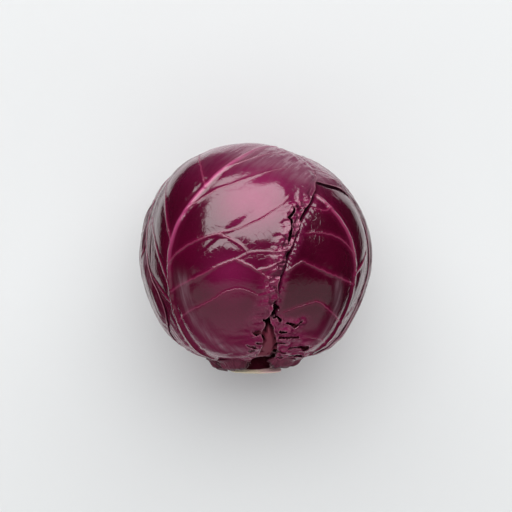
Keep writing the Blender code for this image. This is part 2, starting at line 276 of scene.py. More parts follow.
def leafFinish(name, seed, shade, changes, matt=0, edgeWide=1):
    look = {**leafColours, **changes}
    finish = Finish(name)
    uv = finish.add("UVMap", {"uv_map": "UVMap"}, {})
    place = finish.add("TexCoord", {}, {}, "Object")
    mainLine, fineLine = veinLine(finish, "mainVein"), veinLine(finish, "fineVein")
    mainWidth, fineWidth, crumple = finish.attribute("veinWidth")
    dustedAndSheen, pleat = finish.attribute("wear", 2)
    ribOff, ribHalf, along = finish.attribute("midrib")
    edge, paintedLight, recessShadeMask = finish.attribute("margin")

    mainCore = (mainLine / (mainWidth + 0.02)).step(1.15, 0.2) * mainWidth.step(0.05, 0.5)
    fineCore = (fineLine / (fineWidth + 0.02)).step(1.3, 0.2) * fineWidth.step(0.03, 0.3)
    ribShare = ribOff.size() / (ribHalf + 0.02)
    ribCrest = ribShare.step(0.6, 0)
    glow = (mainLine.step(3.6, 0.3) * 0.6 + fineLine.step(2.5, 0.2) * 0.15 * fineWidth.step(0.03, 0.4)
            + ribOff.size().step(7, 2) * 0.45).clamp()

    bent = finish.add("TexNoise", {}, {"Vector": uv, "Scale": 26, "Detail": 2}, "Color")
    spread = finish.add("VectorMath", {"operation": "SCALE"}, {0: bent, "Scale": 0.035})
    cells = finish.add("TexVoronoi", {"feature": "DISTANCE_TO_EDGE"},
                       {"Vector": finish.add("VectorMath", {"operation": "ADD"}, {0: uv, 1: spread}),
                        "Scale": 62})
    net = cells.step(0.1, 0)
    mottle = finish.noise(place, 26 + seed, 4, 0.55)
    blotch = finish.noise(place, 9 + seed, 2, 0.5)
    grain = finish.noise(place, 900, 3, 0.6)
    wax = finish.noise(place, 55, 5, 0.65, 0.6)
    flecks = finish.noise(place, 620, 3, 0.65)
    flakes = finish.noise(place, 210, 3, 0.6)
    ragged = finish.noise(place, 420, 3, 0.6)
    shards = finish.add("TexVoronoi", {"feature": "F1"}, {"Vector": place, "Scale": 430})
    stretched = finish.add("Mapping", {}, {"Vector": uv, "Scale": (95, 14, 1)})
    streaks = finish.noise(stretched, 1, 4, 0.6)
    # real grey wax bloom, made stronger towards the crown and on the pleated flanks as painted reflection of
    # the pale floor at the head's rims
    bloomAndSheen = ((wax.step(0.4, 0.8) * 0.35 + streaks.step(0.38, 0.66) * 0.55 + 0.35)
             * (along.step(30, 60) * 0.12 + along.step(50, 76) * leafLook["crownBloomAndSheen"])
             + dustedAndSheen * (streaks.step(0.35, 0.7) * 0.7 + 0.3) * leafLook["dustAndSheen"]
             + pleat * streaks.step(0.4, 0.68) * leafLook["pleatBloomAndSheen"]).clamp()
    ribShown = (ribShare.step(1.45, 0.5) * leafLook["midrib"] + ribCrest * leafLook["ribCrest"]).clamp()

    # coats of colour, each over the ones before it
    look["midrib"] = finish.blend(along.step(12, -42), look["rib"], look["ribBase"])
    coats = [
        (along.step(15, 85) * 0.9, "plum"),
        (along.step(-32, -82) * 0.8, "base"),
        # painted light where the highlight falls
        ((paintedLight * (mottle * 0.8 + 0.6)).clamp(), "paintedLight"),
        (glow * 0.5, "glow"),
        # painted highlight: the crumpled strip made pinker, like its glints
        ((crumple * 0.6).clamp(), "paintedLight"),
        (net * 0.06, "glow"),
        (fineCore * leafLook["fineVein"], "vein"),
        (mainCore * leafLook["mainVein"], "vein"),
        (ribShown * (1 - along.step(42, 84) * 0.55), "midrib"),
        (bloomAndSheen, "bloomAndSheen"),
        # painted highlights and shade on the crumpled strip's flakes: pale and pink specks, and dark ones
        (crumple * flecks.step(0.5, 0.68) * 0.3, "edge"),
        ((crumple * flakes.step(0.5, 0.62) * 0.35).clamp(), "vein"),
        ((crumple * flakes.step(0.45, 0.34) * 0.55).clamp(), "deep"),
        ((edge / edgeWide + ragged).step(1.3, 0.55) * leafLook["tornEdge"], "edge"),
        # painted shade: nearly black where the leaf sinks under the tears and open margins of the leaves over
        # it, and in the cracks of the crumpled strip
        (recessShadeMask.clamp(), "recessShade"),
    ]
    colour = finish.blend((blotch.step(0.38, 0.72) * 0.55 + mottle.step(0.4, 0.75) * 0.25).clamp(),
                          look["deep"], look["wine"])
    for factor, coat in coats:
        colour = finish.blend(factor, colour, look[coat])
    colour = finish.blend(1, colour, (shade, shade, shade), "MULTIPLY")

    height = (mainCore * 0.16 + fineCore * 0.02 + net * 0.03 + ribCrest * 0.06
              + (mottle - 0.5) * 0.2 + (grain - 0.5) * 0.004
              + crumple * ((shards - 0.5) * 0.2 + (flecks - 0.5) * 0.22)
              + pleat * (streaks - 0.5) * 0.35)
    rough = wax * 0.1 + grain * 0.03 + leafLook["roughness"] + matt + mainCore * 0.03 + recessShadeMask * 0.5
    finish.set(Base_Color=colour, Metallic=recessShadeMask * 0.9, IOR=1.52,
               Roughness=(rough + bloomAndSheen * leafLook["bloomRoughness"]).clamp(),
               Normal=finish.bump(height, leafLook["relief"]))
    return finish.material


rootColours = {"skin": (0.1, 0.006, 0.028), "bruise": (0.19, 0.025, 0.064), "fibre": (0.3, 0.12, 0.17),
               "dark": (0.03, 0.001, 0.009), "torn": (0.48, 0.3, 0.33)}


def rootFinish(name, seed):  # torn leaf bases: pale fibres with a bruised skin
    finish = Finish(name)
    place = finish.add("TexCoord", {}, {}, "Object")
    uv = finish.add("UVMap", {"uv_map": "UVMap"}, {})
    fibres = finish.noise(finish.add("Mapping", {}, {"Vector": uv, "Scale": (40, 5, 5)}), 6, 4, 0.6)
    blotch = finish.noise(place, 120 + seed, 3, 0.6)
    edge = finish.attribute("margin", 1)[0]
    colour = finish.blend(blotch.step(0.35, 0.65), rootColours["skin"], rootColours["bruise"])
    colour = finish.blend(fibres.step(0.48, 0.72) * 0.45, colour, rootColours["fibre"])
    # painted shade: a nearly black band behind the torn edge, in the hollow beside the stem
    colour = finish.blend((edge + blotch * 2).step(4.4, 2.4) * 0.75, colour, rootColours["dark"])
    colour = finish.blend((edge + blotch * 2.6).step(2.1, 0.9) * 0.6, colour, rootColours["torn"])
    finish.set(Base_Color=colour, Roughness=(blotch * 0.25 + 0.18).clamp(), Metallic=0,
               Normal=finish.bump(fibres * 0.5 + blotch * 0.5, 0.0007))
    return finish.material


stemColours = {"flesh": (0.8, 0.71, 0.53), "pith": (0.86, 0.8, 0.66), "ring": (0.62, 0.3, 0.36),
               "skin": (0.085, 0.003, 0.016), "stain": (0.5, 0.36, 0.22), "rind": (0.74, 0.42, 0.46)}


def stemFinish():
    finish = Finish("cutStem")
    place = finish.add("TexCoord", {}, {}, "Object")
    turn, out, down = finish.attribute("stemPlace")  # turns about the axis, 0 to 1 from it, mm below the cut
    speck = finish.noise(place, 700, 3, 0.6)
    patch = finish.noise(place, 90, 3, 0.55)
    around = finish.add("CombineXYZ", {}, {0: turn * 26, 1: out * 2, 2: down * 0.2})
    rays = finish.noise(around, 1.6, 3, 0.7)
    colour = finish.blend(out.step(0.62, 0.3), stemColours["flesh"], stemColours["pith"])
    colour = finish.blend(rays.step(0.5, 0.75) * out.step(0.25, 0.6) * 0.35, colour, stemColours["stain"])
    ring = out.step(0.7, 0.8) * out.step(0.93, 0.84)
    colour = finish.blend(ring * (patch.step(0.3, 0.6) * 0.5 + 0.3), colour, stemColours["ring"])
    colour = finish.blend(patch.step(0.52, 0.74) * 0.35, colour, stemColours["stain"])
    pinkSide = finish.add("SeparateXYZ", {}, {0: place}, 0).step(-0.003, 0.009)
    colour = finish.blend(down.step(0.3, 0.9) * pinkSide * 0.8, colour, stemColours["rind"])
    # the stem's side below the cut is nearly black: partly its real dark skin, partly painted shade of the
    # hollow it sits in
    side = (down + patch * 1.6 - 0.8).step(2.5, 3.4)
    colour = finish.blend(side, colour, stemColours["skin"])
    colour = finish.blend(speck.step(0.62, 0.8) * 0.3, colour, stemColours["stain"])
    finish.set(Base_Color=colour, Roughness=(patch * 0.2 + 0.45 + side * 0.3).clamp(), Metallic=side * 0.8,
               Normal=finish.bump(rays * 0.4 + speck * 0.3 + patch * 0.3, 0.0004))
    return finish.material


veins = {  # millimetres on the leaf laid flat
    "step": 1.7, "spacing": 8.5, "field": 125, "pull": 30, "stray": 0.22, "beads": 0.45,
    "mainWide": (0.95, 0.32), "fineWide": 0.13, "wobble": 0.16,
}


def walkVein(points, step):  # points of a polyline at even steps, rounded at its bends
    points = np.array(points, float)
    for _ in range(2):
        a, b = points[:-1], points[1:]
        cut = np.stack([0.75 * a + 0.25 * b, 0.25 * a + 0.75 * b], 1).reshape(-1, 2)
        points = np.concatenate([points[:1], cut, points[-1:]])
    gaps = np.hypot(*np.diff(points, axis=0).T)
    run = np.concatenate([[0], np.cumsum(gaps)])
    at = np.linspace(0, run[-1], max(3, int(run[-1] / step) + 1))
    return np.stack([np.interp(at, run, points[:, k]) for k in (0, 1)], axis=1)


def sideVeins(lay, starts, hand, random):  # laterals that leave the midrib and bend towards the tip
    trunks = []
    for along in starts:
        at = np.array([lay.ribMiddle(along), along]) * degree
        share = (along + 80) / 150
        heading = math.radians(62 - 22 * share + random.normal(0, 4))
        curl = math.radians(0.42 + 0.25 * random.random())
        path = [at]
        for k in range(120):
            heading -= curl * (1 - 0.9 * k / 120) + random.normal(0, 0.018)
            at = at + 2 * np.array([hand * math.sin(heading), math.cos(heading)])
            away = np.hypot(*at) / degree
            angle = math.degrees(math.atan2(*at))
            if away > 0.95 * lay.reach(np.array([angle]))[0]:
                break
            path.append(at)
        if len(path) > 6:
            trunks.append(np.array(path))
    return trunks


def growVeins(lay, trunks, random):  # branches that fill the blade between the laterals
    step, spacing, field = veins["step"], veins["spacing"], veins["field"]
    nodes = [p for trunk in trunks for p in walkVein(trunk, step)]
    parents = [-1] * len(nodes)
    goals = random.uniform(-field, field, (int((2 * field / spacing) ** 2), 2))
    inside = np.hypot(*goals.T) / degree < 0.97 * lay.reach(np.degrees(np.arctan2(goals[:, 0], goals[:, 1])))
    goals = goals[inside]
    for _ in range(40):
        if len(goals) == 0:
            break
        tree = kdtree.KDTree(len(nodes))
        for i, p in enumerate(nodes):
            tree.insert((*p, 0), i)
        tree.balance()
        pulls = {}
        left = []
        for goal in goals:
            _, i, gap = tree.find((*goal, 0))
            if gap < 0.4 * spacing:  # reached
                continue
            left.append(goal)
            if gap < veins["pull"]:
                pulls.setdefault(i, []).append((goal - nodes[i]) / gap)
        goals = np.array(left)
        for i, ways in pulls.items():
            way = np.sum(ways, axis=0)
            length = np.hypot(*way)
            if length < 1e-3:
                continue
            before = nodes[i] - nodes[parents[i]] if parents[i] >= 0 else np.zeros(2)
            way = way / length + 0.5 * before / step + random.normal(0, veins["stray"], 2)
            nodes.append(nodes[i] + step * way / np.hypot(*way))
            parents.append(i)
    carried = np.ones(len(nodes))
    for i in range(len(nodes) - 1, -1, -1):
        if parents[i] >= 0:
            carried[parents[i]] += carried[i]
    return [(nodes[parents[i]], nodes[i], carried[i]) for i in range(len(nodes)) if parents[i] >= 0]


def veinTree(pieces):  # pieces: start, end, width at start and end, and whether the end is a tip
    points, ways, widths = [], [], []
    for start, end, w0, w1, tip in pieces:
        run = end - start
        length = max(np.hypot(*run), 1e-6)
        count = max(1, int(length / veins["beads"]))
        for k in range(count):
            t = (k + 0.5) / count
            points.append(start + run * t)
            ways.append(run / length)
            widths.append(w0 + (w1 - w0) * t)
        if tip:
            points.append(end)
            ways.append(np.zeros(2))
            widths.append(w1)
    tree = kdtree.KDTree(len(points))
    for i, p in enumerate(points):
        tree.insert((*p, 0), i)
    tree.balance()
    return tree, np.array(points), np.array(ways), np.array(widths)


def nearestVein(tree, points):  # the way to the nearest vein and how far it is, and its half width
    finder, places, ways, widths = tree
    found = np.array([finder.find((*p, 0))[1] for p in points])
    gap = places[found] - points
    plain = np.hypot(*gap.T)
    gap = gap - ways[found] * np.sum(gap * ways[found], axis=1)[:, None]
    return np.column_stack([gap, plain]), widths[found]


leaves = [
    dict(name="leaf_under_left", side=208, up=5, rib={-85: 0, 0: 0.3, 24: 3, 60: 6}, margin={
        0: 60, 45: 58, 90: 58, 135: 66, 225: 66, 270: 60, 315: 58}),
    dict(name="leaf_inner_left", side=278, up=5, rib={-85: 0, 0: -0.3, 24: -3, 60: -6}, margin={
        0: 60, 45: 58, 90: 60, 135: 66, 225: 62, 270: 50, 315: 56}),
    dict(name="leaf_inner_right", side=100, up=5, rib={-85: 0, 0: 0.3, 24: 3, 60: 6}, margin={
        0: 66, 45: 54, 90: 42, 135: 58, 225: 66, 270: 58, 315: 60}),
    dict(name="leaf_inner_top", side=9, up=5, rib={-85: 0, 0: 0.2, 24: 2, 60: 4}, margin={
        0: 62, 45: 58, 90: 54, 135: 62, 225: 62, 270: 58, 315: 58}),
    dict(name="leaf_upper_right", side=56, up=5,
         rib={-85: 0, -60: 2.5, -45: 4.2, -32: 3.9, -16: 1.4, 0: -3.2, 12: -8.4, 28: -16.5, 50: -24},
         margin={0: 55, 45: 51, 90: 56, 135: 68, 190: 77, 203: 67.4, 214: 62.3, 226: 59, 240: 57.5, 268: 51,
                 300: 45, 330: 48}),
    dict(name="leaf_lower_right", side=138, up=12, rib={-85: 0, 0: -1, 24: -6, 60: -11}, margin={
        0: 90, 40: 76, 90: 70, 135: 74, 215: 74, 235: 63, 262: 56, 286: 58, 303: 66, 311: 86, 330: 90}),
    dict(name="leaf_upper_left", side=310.5, up=12,
         rib={-88: -1, -74: -4.2, -60: -4.8, -50: -4.2, -40: -2.6, -30: 0, -20: 2.6, -10: 4.2, 0: 7, 10: 11.2,
              20: 15.8, 30: 19.4, 42: 22, 60: 24},
         margin={0: 80, 22: 82, 40: 84, 50: 83, 62: 77.5, 72: 71, 87: 66.6, 105: 64.3, 122: 67, 136: 70.3,
                 150: 79, 205: 77, 230: 62, 262: 51, 300: 51, 330: 64}),
    dict(name="leaf_lower_left", side=230, up=8, rib={-85: 0, 0: 0.8, 24: 5, 60: 10}, margin={
        0: 64, 21: 53, 51: 44, 75: 49, 92: 55, 104: 64, 118: 74, 130: 73, 143: 66, 156: 66,
        219: 88, 239: 87, 259: 82, 279: 79, 299: 73, 321: 68, 342: 66}),
]
laid = [LeafLay(**leaf) for leaf in leaves]
innerTop, upperRight, lowerRight, upperLeft = laid[3:7]

# How a leaf is finished. "squares" is the fineness of its mesh, which "finer" packs to one side, "ragged" is
# how torn its margin is in mm, and "starts" where its laterals leave the midrib on the left and on the right,
# in degrees along it.
plainLeaf = dict(squares=90, finer=0, ragged=0.6, starts=((-60, -36, -10), (-52, -30, -4)), shade=0.8,
                 ribWide=1, ribTall=1, matt=0, edgeWide=1, changes={})
leafDetail = {
    "leaf_inner_right": dict(squares=160),
    "leaf_inner_top": dict(squares=190, ragged=0.8, starts=((-30, -6), (-24, 0)), shade=1, ribWide=2.2,
                           ribTall=0.2, matt=0.5, edgeWide=2.6,
                           # lighter colours: partly the strip's own paler base, partly painted light that
                           # lifts it out of the shade of the two leaves over it
                           changes={"base": (0.23, 0.02, 0.052), "deep": (0.17, 0.01, 0.032),
                                    "wine": (0.2, 0.015, 0.042), "rib": (0.23, 0.021, 0.054),
                                    "ribBase": (0.235, 0.023, 0.056), "edge": (0.7, 0.42, 0.5)}),
    "leaf_upper_right": dict(squares=216, finer=-0.26, ragged=1.2, starts=((), (-62, -40, -14)), shade=1,
                             ribTall=0.75,
                             changes={"rib": (0.34, 0.045, 0.125), "ribBase": (0.11, 0.006, 0.028)}),
    "leaf_lower_right": dict(squares=216, ragged=0.9, shade=1,
                             starts=((-66, -47, -26, -4, 20, 44), (-58, -37, -15, 8, 32, 54))),
    "leaf_upper_left": dict(squares=216, finer=0.26, ragged=1.5, starts=((), ()), shade=1),
    "leaf_lower_left": dict(squares=216, ragged=0.9, shade=1,
                            starts=((-66, -47, -26, -4, 20, 44), (-58, -37, -15, 8, 32, 52))),
}

# Laterals given one by one, each from the midrib out, as side and up angles on the head.
handVeins = {
    "leaf_upper_left": [
        [(-45.5, -2.3), (-39.1, 1.9), (-33.3, 5.1), (-27.2, 7.6), (-18.3, 10.6), (-10.5, 12.6), (-2.7, 15.3),
         (4.4, 18.4), (10.2, 22.4), (14.5, 25.4), (19, 30)],
        [(-18.2, 10.2), (-13.4, 8.7), (-7.1, 5.3), (-4.1, 1.6)],
        [(-48.1, -17.3), (-37.1, -12.9), (-25.2, -8.5), (-16.6, -3.8), (-9.3, -1.7), (-3.9, 1.5), (1.9, 2.3),
         (7.9, 1.6), (14.2, 2.4)],
        [(-9.3, -1.7), (-3.9, -4.2), (1.2, -6.7), (4.2, -9), (8.3, -12.3)],
        [(1.2, -6.7), (6.4, -5.2), (9.5, -3.7), (14.5, -0.7)],
        [(-53.5, -34.5), (-41.2, -28.2), (-31.8, -24.8), (-22.9, -21.1), (-13.4, -16.1), (-5.9, -15.5),
         (1, -18.5)],
        [(-37, 22), (-27, 29.5), (-14, 36), (2, 42), (18, 46), (31, 47)],
        [(-20, 46), (-8, 53), (12, 59), (36, 62)],
        [(-45, 8), (-50.9, 19.5), (-56.5, 27.6), (-69, 37), (-84, 43)],
        [(-49, -14), (-52.4, -4.6), (-58.2, 3.6), (-65.7, 12.9), (-77, 21)],
        [(-51.5, -26), (-59, -17), (-68, -9), (-79, -3)],
        [(-29.5, 34), (-38, 45), (-54, 55), (-80, 61)],
    ],
    "leaf_upper_right": [
        [(42.6, 23.8), (39.2, 21.9), (33.6, 23.2), (30.1, 24.2), (26, 26)],
        [(54, 1), (52, 2.5), (46, 7.2), (41.6, 9.3), (36.5, 10.7), (31.2, 11.4), (25.3, 11)],
        [(57.8, -14), (51, -12.3), (45.5, -10.7), (33.8, -6.9), (27.7, -4.4), (22.8, -2.2), (18.7, -4.7),
         (14, -7.5)],
        [(61, -35), (49.8, -30.1), (44.5, -27.7), (36.9, -23.4), (33.1, -22.1), (29.7, -23.3), (22.3, -25.6),
         (15, -28)],
        [(60, -48), (48, -43), (38, -42), (28, -44)],
    ],
}

# Tears through a leaf, each a path of side and up angles with its half width in mm.
tears = {
    "leaf_upper_left": [
        ([(18.9, 24.8), (19.2, 20.8), (15.9, 17.8), (18, 17), (17.2, 13.5)], 0.45),
        ([(17.2, 13.5), (16, 9.3), (15.4, 5.5)], 0.55),
        ([(9.6, -25.6), (8, -28.8)], 1.2),
        ([(4.4, -31.5), (6.8, -35)], 1.2),
        ([(-0.5, -40.3), (2.4, -39), (4, -40.2)], 1.3),
        ([(5.5, -34.9), (5.5, -37.7), (5.6, -41)], 0.5),
        ([(0.8, -47.6), (4, -47.2)], 1.1),
        ([(-7, -50.4), (-2.4, -51.8), (1, -50.8)], 1.2),
        ([(-6.3, -55.6), (-1, -54.6)], 1.1),
        ([(-6, -61.4), (-1, -62.6), (4, -61.6)], 1.3),
        ([(-33, -71.5), (-28.8, -68.8), (-24, -71)], 1.6),
        ([(-11, -66.8), (-3, -68)], 1.2),
    ],
    "leaf_inner_top": [
        ([(-6, -64), (0, -65)], 0.7),
        ([(19, -63.6), (28, -65.4)], 1.1),
        ([(-12, -71), (4, -72.2), (14, -71.2), (30, -72), (42, -71)], 1.3),
    ],
    "leaf_upper_right": [
        ([(17.8, -34.2), (21, -34.4), (24, -35.9), (27, -32.6)], 0.6),
        ([(9.5, -31.2), (12, -30.2), (14.6, -32.6)], 0.7),
        ([(9.4, -35.3), (10.5, -38.4), (11.5, -41.1)], 0.5),
        ([(15, -39), (18.5, -39.2)], 1.4),
        ([(15.5, -42.9), (21.5, -43), (29.2, -43.3)], 0.8),
        ([(16.5, -47.5), (21.5, -47.2)], 1),
        ([(27.3, -52.4), (30.5, -50.3), (33.1, -49.6)], 0.9),
        ([(33.1, -49.6), (37.6, -49.4), (42.3, -51.7)], 1.7),
        ([(18.5, -55.3), (26.4, -56.3)], 1.3),
        ([(34.5, -59.7), (38.4, -57.4), (44, -57.6)], 1.4),
        ([(44, -57.6), (51, -59)], 0.8),
        ([(19, -63.4), (25, -62.4), (30, -63.6)], 1.2),
    ],
}

# Dusty bands across the leaf bases, partly dust and partly painted reflection of the floor: a path of side
# and up angles and its half width in mm.
dustAndSheenBands = {
    "leaf_inner_top": [([(-14, -68), (5, -69), (20, -68.6), (42, -68)], 1.8)],
    "leaf_upper_left": [
        ([(-38, -12), (-38.6, -21), (-37.8, -27), (-35.6, -33.5), (-33, -39.5), (-29, -45.6),
          (-22, -51), (-12, -54.5), (-4, -55)], 5.5),
        ([(-8, -58.5), (-2, -59.5), (5, -60.5)], 1.6),
        ([(-46, -44), (-38, -52.5), (-26, -59), (-13, -63)], 4.5),
    ],
    "leaf_upper_right": [
        ([(44, -13), (46.5, -20.8), (48.2, -27.3), (48.2, -33), (47.4, -39.3), (45.5, -44.8),
          (39, -49)], 3.2),
        ([(27, -60.5), (29.5, -56), (33, -54.4), (45, -54.2), (50, -51)], 1.3),
        ([(17, -45), (24, -45.6), (32, -45.4)], 1.1),
    ],
}


def laidFlat(lay, path):  # a path of side and up angles, in mm on the flat leaf
    return lay.plane(np.array([direction(s, u) for s, u in path]))


def pathAway(lay, d, path):  # mm on the flat leaf from a path
    points = lay.plane(d)
    nearest = np.full(len(d), 50)
    ends = laidFlat(lay, path)
    for a, b in zip(ends[:-1], ends[1:]):
        run = b - a
        share = np.clip((points - a) @ run / (run @ run), 0, 1)
        nearest = np.minimum(nearest, np.hypot(*(points - a - share[:, None] * run).T))
    return nearest


def tearAway(d, lay):  # mm outside the nearest tear of this leaf, negative in it
    nearest = np.full(len(d), 50)
    for path, half in tears.get(lay.name, []):
        nearest = np.minimum(nearest, pathAway(lay, d, path) - half)
    return nearest - 0.75 * lumps(d * skin, 2.6, 81) - 0.45 * lumps(d * skin, 1.3, 82)


def rightOf(lay, d):  # 1 beside the crumpled margin of the upper left leaf
    _, angle = lay.place(d)
    angle = np.mod(angle, 360)
    return smooth((angle - 22) / 14) * smooth((174 - angle) / 8)


def cleft(d, count):  # how far, 0 to 1, a leaf sinks away under the tears and open margins of those over it
    above = laid[count + 1:]
    deep = np.zeros(len(d))
    strip, kept = 1, 1
    if laid[count] is innerTop:  # the strip between the two leaves stays up beside their margins
        side, up = sideAndUp(d)
        strip = 1 - 0.8 * smooth((-35 - up) / 5)
        aside = (side - 9 + (up + 40) * 0.27) * np.cos(np.radians(up)) * degree
        kept = 1 - 0.9 * smooth((-36 - up) / 4) * smooth((66 + up) / 4) * bell(aside / 4.2)
    if lowerRight in above:  # the open gap under the top of the lower right leaf
        away = degreesFrom(d, direction(60, 39))
        beside = lowerRight.outside(d) * degree + 0.5 * lumps(d * skin, 4, 83)
        deep = np.maximum(deep, 1.3 * smooth((15 - away) / 9) * bell((beside - 0.7) / 1.4))
    if upperLeft in above:
        beside = upperLeft.outside(d) * degree
        deep = np.maximum(deep, strip * rightOf(upperLeft, d) * bell((beside + 0.3) / 2))
    if upperRight in above:
        beside = upperRight.outside(d) * degree
        _, angle = upperRight.place(d)
        opened = smooth((np.mod(angle, 360) - 185) / 6)
        deep = np.maximum(deep, strip * opened * bell((beside + 0.2) / 1.7))
    for over, share in ((upperLeft, 1.4), (innerTop, 1), (upperRight, 1.4)):
        if over in above:
            deep = np.maximum(deep, share * smooth(1.3 - tearAway(d, over) / 2.2))
    return deep * kept


def heartRadius(d):
    radius = ballRadius(d)
    for lay in laid:
        radius = radius - layer * lay.cover(d, head["heartDrape"])
        radius = radius - head["ribSunk"] * lay.rib(d, head["ribCover"])
    return radius


def laidRadius(d, count):
    radius = heartRadius(d) + head["air"]
    for lay in laid[:count]:
        radius = radius + layer * lay.cover(d, head["drape"]) + lay.rib(d, head["ribCover"])
    return radius


def startPiece(name, addPrimitive, **settings):  # a primitive on its own, and its vertices' places
    bpy.ops.object.select_all(action="DESELECT")
    addPrimitive(**settings)
    piece = bpy.context.object
    piece.name = name
    flat = np.empty(len(piece.data.vertices) * 3, dtype=np.float32)
    piece.data.vertices.foreach_get("co", flat)
    return piece, flat.reshape(-1, 3).astype(float)


def startSheet(name, columns, rows):  # a grid, and its vertices' x and y from -1 to 1
    sheet, places = startPiece(name, bpy.ops.mesh.primitive_grid_add, size=2, x_subdivisions=columns,
                               y_subdivisions=rows)
    return sheet, *places[:, :2].T.copy()


def placeVertices(mesh, spots):
    mesh.vertices.foreach_set("co", spots.astype(np.float32).ravel())


def writeAttribute(mesh, name, *columns):  # up to three numbers for each vertex
    vectors = np.zeros((len(mesh.vertices), 3), dtype=np.float32)
    for k, column in enumerate(columns):
        vectors[:, k] = column
    mesh.attributes.new(name, "FLOAT_VECTOR", "POINT").data.foreach_set("vector", vectors.ravel())


def addWall(piece, thickness, group=""):  # the sheet gets its thickness, inwards
    wall = piece.modifiers.new("wall", "SOLIDIFY")
    wall.thickness = thickness
    wall.offset = -1
    wall.vertex_group = group
    bpy.ops.object.modifier_apply(modifier=wall.name)
    bpy.ops.object.shade_smooth()


def openTears(mesh, ajar, edge):  # cuts the tears out of the blade and rounds their stepped borders
    work = bmesh.new()
    work.from_mesh(mesh)
    work.verts.ensure_lookup_table()
    inTear = (ajar < 0) & (edge > 0)
    gone = [face for face in work.faces if sum(inTear[v.index] for v in face.verts) >= 2]
    bmesh.ops.delete(work, geom=gone, context="FACES")
    for _ in range(3):
        moved = {}
        for v in work.verts:
            border = [e.other_vert(v).co for e in v.link_edges if e.is_boundary]
            if len(border) == 2:
                moved[v] = v.co * 0.4 + (border[0] + border[1]) * 0.3
        for v, co in moved.items():
            v.co = co
    work.to_mesh(mesh)
    work.free()


heights = {  # of a leaf's relief, in millimetres
    "groove": 0.2, "mainVein": 0.62, "fineVein": 0.03, "quilt": 0.34, "swell": 0.26, "ripple": 0.09,
    "crumple": 0.8, "crack": 0.9, "fold": 1.3, "strip": 1.8, "lip": 1, "pleat": 0.2, "buckle": 0.34,
    "press": 1.55, "lift": 0.55, "cleft": 2.6,
}
leafWall = 0.00115
restSnap = 0.0006  # what comes this near the floor lies flat on it


def leafVeins(lay, starts, plane, random):  # the way to the nearest vein and its half width, main and fine
    trunks = [laidFlat(lay, path) for path in handVeins.get(lay.name, [])]
    for hand, alongs in zip((-1, 1), starts):
        trunks += sideVeins(lay, alongs, hand, random)
    segments = growVeins(lay, trunks, random)
    big = []
    for path in trunks:
        path = walkVein(path, 1.5)
        path[1:-1] += random.normal(0, veins["wobble"], path[1:-1].shape)
        widths = np.linspace(*veins["mainWide"], len(path))
        last = len(path) - 2
        big += [(path[k], path[k + 1], widths[k], widths[k + 1], k == last) for k in range(last + 1)]
    small = []
    for start, end, carried in segments:
        width = min(0.5, veins["fineWide"] * carried ** 0.4)
        small.append((start, end, width, width, carried < 1.5))
    print(lay.name, "has", len(segments), "fine veins")
    mainVein, mainWidth = nearestVein(veinTree(big), plane)
    fineVein, fineWidth = nearestVein(veinTree(small), plane)
    return mainVein, mainWidth, fineVein, fineWidth * smooth((plane[:, 1] + 62) / 34)


def veinGap(vein):
    return np.maximum(np.hypot(vein[:, 0], vein[:, 1]), vein[:, 2] - veinEnd)


def crumpled(lay, d, edge, ajar, angle, up, along):  # 0 to 1, most in the torn strip down the head
    crumple = np.zeros(len(d))
    if lay is upperLeft:
        crumple = smooth(1 - (edge - 4) / 11) * rightOf(lay, d)
        crumple *= 0.45 + 0.55 * smooth((150 - np.mod(angle, 360)) / 40)
        crumple *= 0.15 + 0.85 * smooth((36 - up) / 12)
    elif lay is upperRight:
        beside = upperLeft.outside(d) * degree
        crumple = 0.85 * smooth(1 - np.abs(beside) / 8.5) * smooth((36 - up) / 12)
        crumple = np.maximum(crumple, smooth(1 - ajar / 7) * smooth((-along - 30) / 12))
    return crumple


def thinMargin(leaf):  # a vertex group that makes the wall thinner towards the margin
    kept = np.empty(len(leaf.data.vertices) * 3, dtype=np.float32)
    leaf.data.attributes["margin"].data.foreach_get("vector", kept)
    thin = leaf.vertex_groups.new(name="thickness")
    weights = np.round(0.35 + 0.65 * smooth(kept[0::3] / 5), 1)
    for level in np.unique(weights):
        thin.add(np.nonzero(weights == level)[0].tolist(), float(level), "REPLACE")


